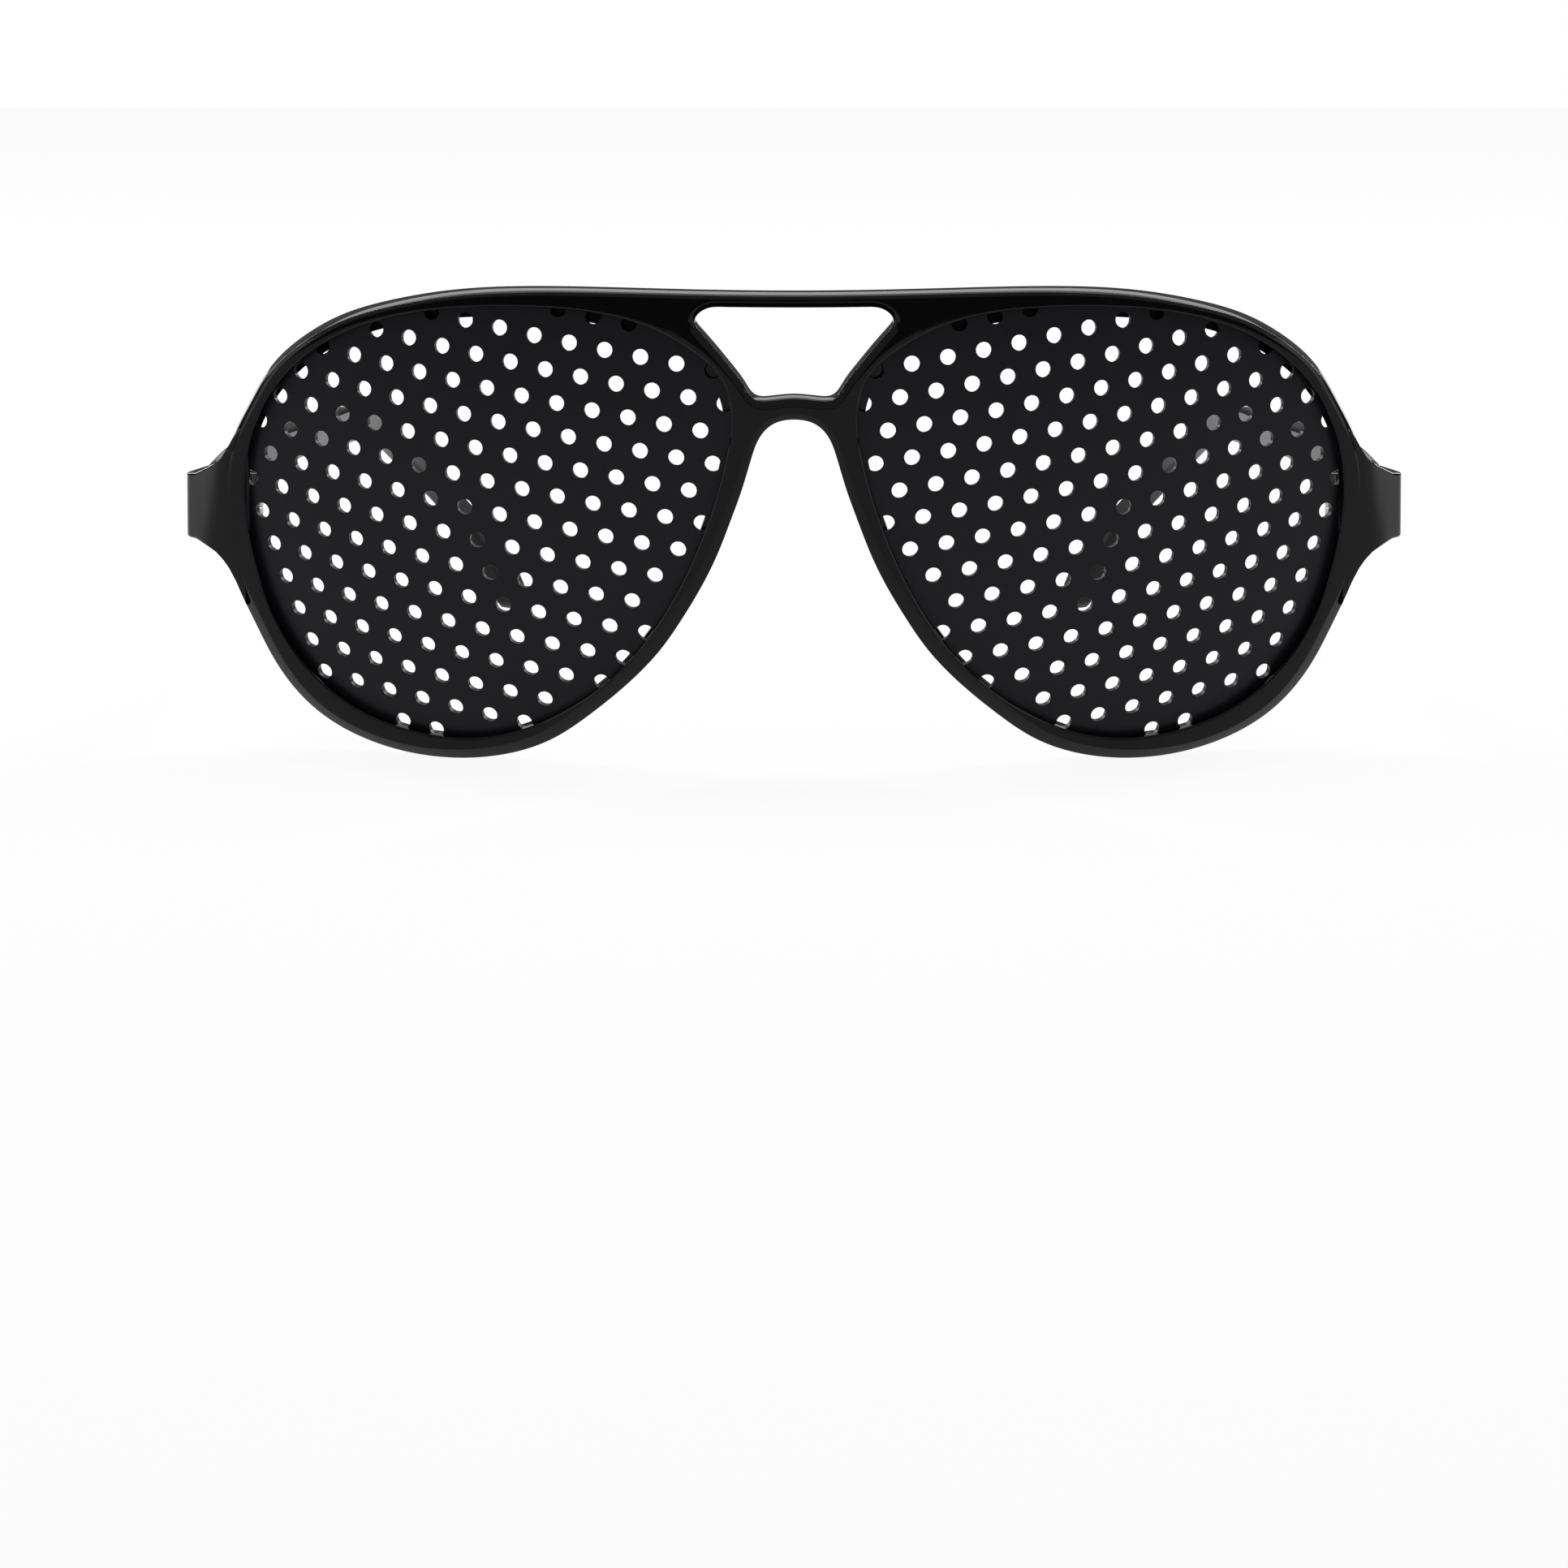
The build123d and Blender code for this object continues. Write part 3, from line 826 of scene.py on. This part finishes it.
        section = rounded_sections(wall, top - bottom, self.end_round)
        flat = (outer + across * wall[:, None] / 2)[:, None] + across[:, None] * section[..., :1]
        height = ((top + bottom) / 2)[:, None] + section[..., 1]
        tilt = math.radians(self.placing.tilt)
        radius = self.placing.base_radius
        level = height - radius * math.sin(tilt)
        room = np.sqrt(self.outside**2 - flat[..., 0] ** 2 - level**2)
        sunk = np.interp(flat[..., 0], self.emerging_x, self.emerging_depths)
        inner_share = np.clip(0.5 + section[..., 0] / wall[:, None], 0, 1)
        needed = radius * math.cos(tilt) - room + sunk + inner_share * self.wrap_start_wall
        behind = (needed - flat[..., 1]) / self.press_soft
        y = flat[..., 1] + self.press_soft * np.logaddexp(0.0, behind)
        return self.placing.from_plan(flat[..., 0] * side.value, y, height)

    def pad_rings(self, side: Side) -> Array:
        """Gives the sections of a nose pad: ellipses that close round at the tip.

        Args:
            side: which pad.

        Returns:
            One ring of places for each first index.
        """
        share = np.linspace(0, 1, self.pad_rows)[:, None]
        near_tip = np.clip(share - 1 + self.pad_tip_share, 0, 1) / self.pad_tip_share
        closing = np.sqrt(np.clip(1 - near_tip**2, self.pad_tip_least, 1))
        shrink = self.pad_tip_length + (1 - self.pad_tip_length) * closing
        length = (self.pad_length - self.pad_taper[1] * share**2) / 2 * shrink
        width = (self.pad_width - self.pad_taper[0] * share) / 2 * closing
        turn = np.linspace(0, 2 * math.pi, self.pad_sides, endpoint=False)[None]
        lean = math.radians(self.pad_lean)
        x, z = turned(width * np.cos(turn), length * np.sin(turn), lean)
        x = (self.pad_out + x) * side.value
        depth = self.pad_root + self.pad_stand * share
        return self.placing.from_front(x, depth, z - self.pad_drop)


@dataclass(frozen=True)
class PerforatedPlate:
    """A thin plate with round holes that stand square to its surface, on a leaning lattice."""

    placing: Placing
    window: Window = Window()
    thickness: float = 0.9
    groove_reach: float = 0.96
    hole_radius: float = 0.95
    back_radius: float = 1.05
    hole_edge: float = 0.07
    hole_sides: int = 20
    hole_margin: float = 0.18
    pitch: float = 4.41
    row_pitch: float = 4.25
    row_angle: float = 8.36
    column_angle: float = 68.9
    pattern_out: float = 35.65
    pattern_down: float = 0.70
    outline_steps: int = 300
    lattice_reach: int = 14

    def directions(self) -> Array:
        """Gives the holes' directions from the sphere's centre.

        A lattice of two steps is laid out flat, each point's distance and bearing become an
        angle and a bearing on the sphere, and the sphere is turned so that the lattice's own
        origin comes to its place. The holes inside the window stay.

        Returns:
            Unit vectors: x, up and forward.
        """
        radius = self.placing.base_radius
        row, column = math.radians(self.row_angle), math.radians(self.column_angle)
        places = np.arange(-self.lattice_reach, self.lattice_reach + 1)
        step, line = np.meshgrid(places, places)
        right = step * self.pitch * math.cos(row) + line * self.row_pitch * math.cos(column)
        up = step * self.pitch * math.sin(row) + line * self.row_pitch * math.sin(column)
        angle, bearing = np.hypot(right, up) / radius, np.arctan2(up, right)
        right, up = np.sin(angle) * np.cos(bearing), np.sin(angle) * np.sin(bearing)
        up, ahead = turned(up, np.cos(angle), self.pattern_down / radius)
        ahead, right = turned(ahead, right, self.pattern_out / radius)
        found = np.stack([right, up, ahead], axis=-1).reshape(-1, 3)
        found = found[found[:, 2] > 0]
        limit = self.window.loop(-self.hole_margin, self.outline_steps)
        return found[inside(found[:, :2] * radius, [limit])]

    def rings(self, directions: Array, hole: float, radius: float) -> Array:
        """Gives the holes' rings on a sphere: each direction leaned by the hole's angle.

        Args:
            directions: unit directions of the holes.
            hole: radius of a hole.
            radius: radius of the sphere.

        Returns:
            x, depth and z: first index for the hole, second for the point.
        """
        one = unit(np.cross(directions, [0.0, 1.0, 0.0]))
        two = np.cross(directions, one)
        turn = np.linspace(0, 2 * math.pi, self.hole_sides, endpoint=False)[None, :, None]
        around = np.cos(turn) * one[:, None] + np.sin(turn) * two[:, None]
        lean = hole / radius
        points = radius * (math.cos(lean) * directions[:, None] + math.sin(lean) * around)
        depth = self.placing.base_radius - points[..., 2]
        return np.stack([points[..., 0], depth, points[..., 1]], axis=-1)

    def build(self, side: Side, satin: Material) -> Object:
        """Builds and dresses a plate.

        Args:
            side: which plate.
            satin: its material.

        Returns:
            The object.
        """
        shell = Shell()
        front = self.placing.base_radius
        back = front - self.thickness
        outline = self.window.loop(self.groove_reach, self.outline_steps)
        directions = self.directions()
        LOGGER.info("%s plate: %d holes", side.prefix, len(directions))
        edges = []
        for radius in (front, back):
            depth = self.placing.depth(outline[:, 0], outline[:, 1], radius)
            edges.append(shell.row(self.placing.from_front(outline[:, 0], depth, outline[:, 1])))
        shell.strip(edges[0], edges[1])
        layers = [
            self.rings(directions, self.hole_radius + self.hole_edge, front),
            self.rings(directions, self.hole_radius, front - self.hole_edge),
            self.rings(directions, self.back_radius, back),
        ]
        numbers = [
            shell.row(self.placing.from_front(layer[..., 0], layer[..., 1], layer[..., 2]))
            for layer in layers
        ]
        shell.strip(numbers[0], numbers[1])
        shell.strip(numbers[1], numbers[2])
        for edge, layer, number in zip(edges, layers[::2], numbers[::2]):
            order = np.concatenate([edge, number.ravel()])
            found = fill([outline, *layer[..., [0, 2]]], np.empty((0, 2)))
            shell.faces.append(order[found].tolist())
        name = f"{side.prefix}_perforated_plate"
        piece = shell.to_object(name, satin, sharp=35.0, flip=side is Side.RIGHT)
        return hand_over(piece, "front", f"{side.prefix}_plate")


@dataclass(frozen=True)
class Temple:
    """A temple: a rounded bar, tall at the hinge, that bends down and in behind the ear."""

    placing: Placing
    length: float = 118.5
    height: float = 7.8
    thickness: float = 4.1
    inset: float = 1.7
    ear_turn: float = 9.0
    edge_round: float = 0.5
    tip_reach: float = 2.6
    tip_curve: float = 2.65
    first_share: float = 0.93
    stations: int = 90
    top_shares: tuple = (
        (0.076, 0.67), (0.327, 0.71), (0.447, 0.69), (0.545, 0.66), (0.640, 0.42),
    )
    bottom_shares: tuple = (
        (0.076, -0.36), (0.170, 0.00), (0.273, 0.20), (0.380, 0.16), (0.491, 0.10), (0.600, 0.06),
    )
    ear_top_shares: tuple = (
        (0.719, 0.000), (0.803, 0.142), (0.880, 0.320), (0.950, 0.530), (1.000, 0.735),
        (1.024, 0.880),
    )
    ear_bottom_shares: tuple = (
        (0.688, 0.034), (0.765, 0.158), (0.835, 0.302), (0.902, 0.490), (0.945, 0.672),
        (0.982, 0.840), (1.003, 0.950),
    )
    # Along, inward turn and thickness
    plan_shares: tuple = (
        (0.0, 0.0, 1.0), (0.076, 0.0, 1.0), (0.452, 0.0, 0.80), (0.693, 0.05, 0.70),
        (0.830, 0.30, 0.68), (0.944, 0.78, 0.68), (1.049, 1.30, 0.68),
    )

    def edge_line(self, start: float, bar: tuple, ear: tuple) -> Array:
        """Gives the top or bottom line as a spline through the bar's and the ear's points.

        Args:
            start: height at the hinge.
            bar: shares of the length and the height.
            ear: shares of the length and of the drop to the floor.

        Returns:
            Along and up for each station.
        """
        drop = self.placing.apex_z + self.placing.hinge_lift
        points = np.vstack([
            [[0.0, start]], np.array(bar) * [self.length, self.height],
            np.array(ear) * [self.length, -drop],
        ])
        return even_steps(cubic_spline(points, closed=False), self.stations)

    def build(self, side: Side, gloss: Material) -> Object:
        """Builds and dresses a temple.

        A rounded rectangle stands between the top and the bottom line at each station, as thick
        as the plan says, and closes round at the tip as the root of one less a square.

        Args:
            side: which temple.
            gloss: its material.

        Returns:
            The object.
        """
        top = self.edge_line(self.height / 2, self.top_shares, self.ear_top_shares)
        bottom = self.edge_line(-self.height / 2, self.bottom_shares, self.ear_bottom_shares)
        plan = np.array(self.plan_shares) * [self.length, self.ear_turn, self.thickness]
        plan = cubic_spline(plan, closed=False)
        rise, centre = top - bottom, (top + bottom) / 2
        height = np.linalg.norm(rise, axis=1)
        thickness = np.interp(centre[:, 0], plan[:, 0], plan[:, 2])
        left = (1 - np.arange(self.stations + 1) / self.stations) * self.length
        near_tip = np.clip(self.tip_reach - left, 0, None) / self.tip_curve
        close = np.sqrt(np.clip(1 - near_tip**2, 0, 1))
        close[0] *= self.first_share
        section = rounded_sections(thickness, height, self.edge_round) * close[:, None, None]
        lean = rise / height[:, None]
        along = centre[:, :1] + lean[:, :1] * section[..., 1]
        up = centre[:, 1:] + lean[:, 1:] * section[..., 1]
        middle = self.inset + self.thickness / 2
        out = middle - np.interp(along, plan[:, 0], plan[:, 1]) + section[..., 0]
        floor = -(self.placing.apex_z + self.placing.hinge_lift)
        shell = Shell()
        shell.tube(self.placing.from_hinge(out, along, np.maximum(up, floor)))
        name = f"{side.prefix}_temple_bar"
        piece = shell.to_object(name, gloss, sharp=50.0, flip=side is Side.RIGHT)
        return hand_over(piece, f"{side.prefix}_arm", f"{side.prefix}_temple")


@dataclass(frozen=True)
class HingeSet:
    """The metal of one hinge: two leaves, their rivets and the screw, with softened edges."""

    nodes: dict
    edge_softness: float = 0.07
    edge_segments: int = 2
    crisp_angle: float = 40.0
    merged: float = 0.002

    def build(self, side: Side, silver: Material, steel: Material) -> list[Object]:
        """Builds and dresses the hinge.

        Args:
            side: which hinge.
            silver: material of the leaves.
            steel: material of the screw and the rivets.

        Returns:
            The objects.
        """
        arm = f"{side.prefix}_arm"
        plan = (
            ("front_hinge", "front", silver, Slot.HINGE), ("temple_hinge", arm, silver, Slot.HINGE),
            ("hinge_screw", "front", steel, Slot.SCREW),
            ("front_hinge_rivets", "front", steel, Slot.SCREW),
            ("temple_hinge_rivets", arm, steel, Slot.SCREW),
        )
        return [
            self.soften(f"{side.prefix}_{name}", body, material)
            for name, body, material, slot in plan
        ]

    def soften(self, node: str, body: str, material: Material) -> Object:
        """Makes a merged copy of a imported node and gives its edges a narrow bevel.

        Args:
            node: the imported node.
            body: the body that it rides on.
            material: its material.

        Returns:
            The object.
        """
        mesh = self.nodes[node].data.copy()
        mesh.name = node + "_tumbled"
        working = bmesh.new()
        working.from_mesh(mesh)
        bmesh.ops.remove_doubles(working, verts=working.verts, dist=self.merged * MILLIMETRE)
        piece = finish_mesh(working, mesh, material, self.crisp_angle)
        bevel = piece.modifiers.new("tumbled_edges", "BEVEL")
        bevel.width = self.edge_softness * MILLIMETRE
        bevel.segments = self.edge_segments
        bevel.limit_method = "ANGLE"
        bevel.angle_limit = math.radians(self.crisp_angle)
        return hand_over(piece, body, node)


@dataclass(frozen=True)
class Studio:
    """The floor, the world, the softboxes and the camera at the photograph's place."""

    placing: Placing
    distance: float = 1100.0
    pitch: float = 6.1
    lens: float = 213.06
    sensor: float = 36.0
    view_end: float = 50.0
    shift: tuple = (-0.00647, -0.1687)
    floor_reach: float = 1.2
    floor_colour: str = "#eeeeee"
    floor_roughness: float = 0.9
    floor_shine: float = 0.92
    room_level: float = 0.30
    horizon_level: float = 0.11
    dome_level: float = 0.65
    dome_rise: tuple = (0.32, 0.50)
    # In metres: place, direction of the long side, length and width, then the power. One that
    # stands off the middle plane has a mirror image.
    softboxes: tuple = (
        ((0.0, 1.12, 0.45), (1.0, 0.0, 0.0), 0.9, 0.16, 0.5),
        ((0.39, 0.245, 0.875), (0.64, 0.61, -0.46), 0.32, 0.08, 1.9),
        ((0.565, 0.48, 0.65), (0.48, 0.56, -0.67), 0.50, 0.08, 3.0),
        ((0.62, 0.69, 0.35), (0.0, 0.58, -0.81), 0.28, 0.08, 1.7),
        ((0.95, 0.0, 0.28), (0.0, 0.0, 1.0), 0.5, 0.5, 1.0),
    )

    def build(self) -> None:
        """Builds all of the studio."""
        bpy.context.scene.view_settings.view_transform = "Standard"
        self.add_floor()
        self.add_world()
        self.add_softboxes()
        self.add_camera()

    def add_floor(self) -> None:
        """Adds a wide pale floor, which looks white and keeps a share of every shadow.

        Camera, glossy and transmission rays find it shining for the greater part, and the light
        that bounces about the studio finds it plain.
        """
        material, tree, shader = start_material("pale_studio_floor")
        shader.inputs["Base Color"].default_value = to_linear(self.floor_colour)
        shader.inputs["Roughness"].default_value = self.floor_roughness
        shader.inputs["Specular IOR Level"].default_value = 0.0
        rays = add_node(tree, "LightPath", {}, {}).outputs
        seen = {0: rays["Is Camera Ray"], 1: rays["Is Glossy Ray"]}
        seen = {0: add_node(tree, "Math", {"operation": "MAXIMUM"}, seen).outputs[0]}
        seen[1] = rays["Is Transmission Ray"]
        seen = add_node(tree, "Math", {"operation": "MAXIMUM"}, seen).outputs[0]
        shine = add_node(tree, "Emission", {"Strength": 1.0}, {}).outputs[0]
        part = {"operation": "MULTIPLY", 1: self.floor_shine}
        share = add_node(tree, "Math", part, {0: seen}).outputs[0]
        mixed = add_node(tree, "MixShader", {}, {0: share, 1: shader.outputs[0], 2: shine})
        tree.links.new(mixed.outputs[0], tree.nodes["Material Output"].inputs["Surface"])
        shell = Shell()
        corners = np.array([[-1, -1, 0], [1, -1, 0], [1, 1, 0], [-1, 1, 0]]) * self.floor_reach
        shell.faces.append([shell.row(corners).tolist()])
        shell.to_object("studio_floor", material, sharp=180.0)

    def add_world(self) -> None:
        """Adds a white studio that lights the glasses at a plain level.

        Camera and transmission rays see white all round. Glossy rays see a pale dome from a low
        height upwards and a dimmer band along the horizon, which keeps the edges of the gloss
        crisp.
        """
        world = bpy.data.worlds.new("white_studio")
        bpy.context.scene.world = world
        world.use_nodes = True
        tree = world.node_tree
        background = tree.nodes["Background"]
        rays = add_node(tree, "LightPath", {}, {}).outputs
        place = add_node(tree, "TexCoord", {}, {}).outputs["Generated"]
        height = add_node(tree, "SeparateXYZ", {}, {0: place}).outputs["Z"]
        low, high = self.dome_rise
        rise = {
            "From Min": low, "From Max": high,
            "To Min": self.horizon_level, "To Max": self.dome_level,
        }
        dome = add_node(tree, "MapRange", rise, {"Value": height}).outputs[0]
        seen = {0: rays["Is Camera Ray"], 1: rays["Is Transmission Ray"]}
        seen = add_node(tree, "Math", {"operation": "MAXIMUM"}, seen).outputs[0]
        level = {"From Min": 0.0, "From Max": 1.0, "To Min": self.room_level, "To Max": 1.0}
        level = add_node(tree, "MapRange", level, {"Value": seen}).outputs[0]
        strength = add_node(
            tree, "Mix", {"data_type": "FLOAT"}, {0: rays["Is Glossy Ray"], 2: level, 3: dome}
        )
        background.inputs["Color"].default_value = (1.0, 1.0, 1.0, 1.0)
        tree.links.new(strength.outputs[0], background.inputs["Strength"])

    def add_softboxes(self) -> None:
        """Adds the softboxes, each of which faces the glasses.

        A lamp shines along its own -z, so its z points away from the middle of the floor, its x
        along the long side, and its y across both.
        """
        boxes = []
        for place, along, *rest in self.softboxes:
            for sign in (-1.0, 1.0) if place[0] else (1.0,):
                flip = np.array([sign, 1.0, 1.0])
                boxes.append((flip * place, flip * along, *rest))
        for number, (place, along, length, width, power) in enumerate(boxes):
            lamp = bpy.data.lights.new(f"softbox_{number}", "AREA")
            lamp.shape = "RECTANGLE"
            lamp.size, lamp.size_y = length, width
            lamp.energy = power
            away = Vector(place).normalized()
            across = away.cross(Vector(along)).normalized()
            turn = Matrix((across.cross(away), across, away)).transposed()
            holder = add_object(lamp.name, lamp)
            holder.location = place
            holder.rotation_euler = turn.to_euler()
            holder.visible_camera = False

    def add_camera(self) -> None:
        """Adds the camera, which looks down through the front's foremost point."""
        pitch = math.radians(self.pitch)
        camera = bpy.data.cameras.new("photograph_camera")
        camera.lens = self.lens
        camera.sensor_width = self.sensor
        camera.shift_x, camera.shift_y = self.shift
        camera.clip_end = self.view_end
        holder = add_object(camera.name, camera)
        holder.location = (
            0.0,
            (self.placing.apex_y - self.distance * math.cos(pitch)) * MILLIMETRE,
            (self.placing.apex_z + self.distance * math.sin(pitch)) * MILLIMETRE,
        )
        holder.rotation_euler = (math.pi / 2 - pitch, 0.0, 0.0)
        bpy.context.scene.camera = holder


def main() -> None:
    """Loads the frame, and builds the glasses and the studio."""
    logging.basicConfig(level=logging.INFO)
    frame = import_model()
    placing = Placing.from_joints(frame["joints"])
    gloss, satin = POLISHED_ABS.make(), CALENDERED_PVC.make()
    silver, steel = NICKEL_SILVER.make(), TURNED_STEEL.make()
    pieces = [FrontFrame(placing).build(gloss)]
    for side in Side:
        pieces.append(PerforatedPlate(placing).build(side, satin))
        pieces.append(Temple(placing).build(side, gloss))
        pieces += HingeSet(frame["nodes"]).build(side, silver, steel)
    for piece in pieces:
        LOGGER.info("%s: %d faces", piece.name, len(piece.data.polygons))
    Studio(placing).build()


if __name__ == "__main__":
    main()
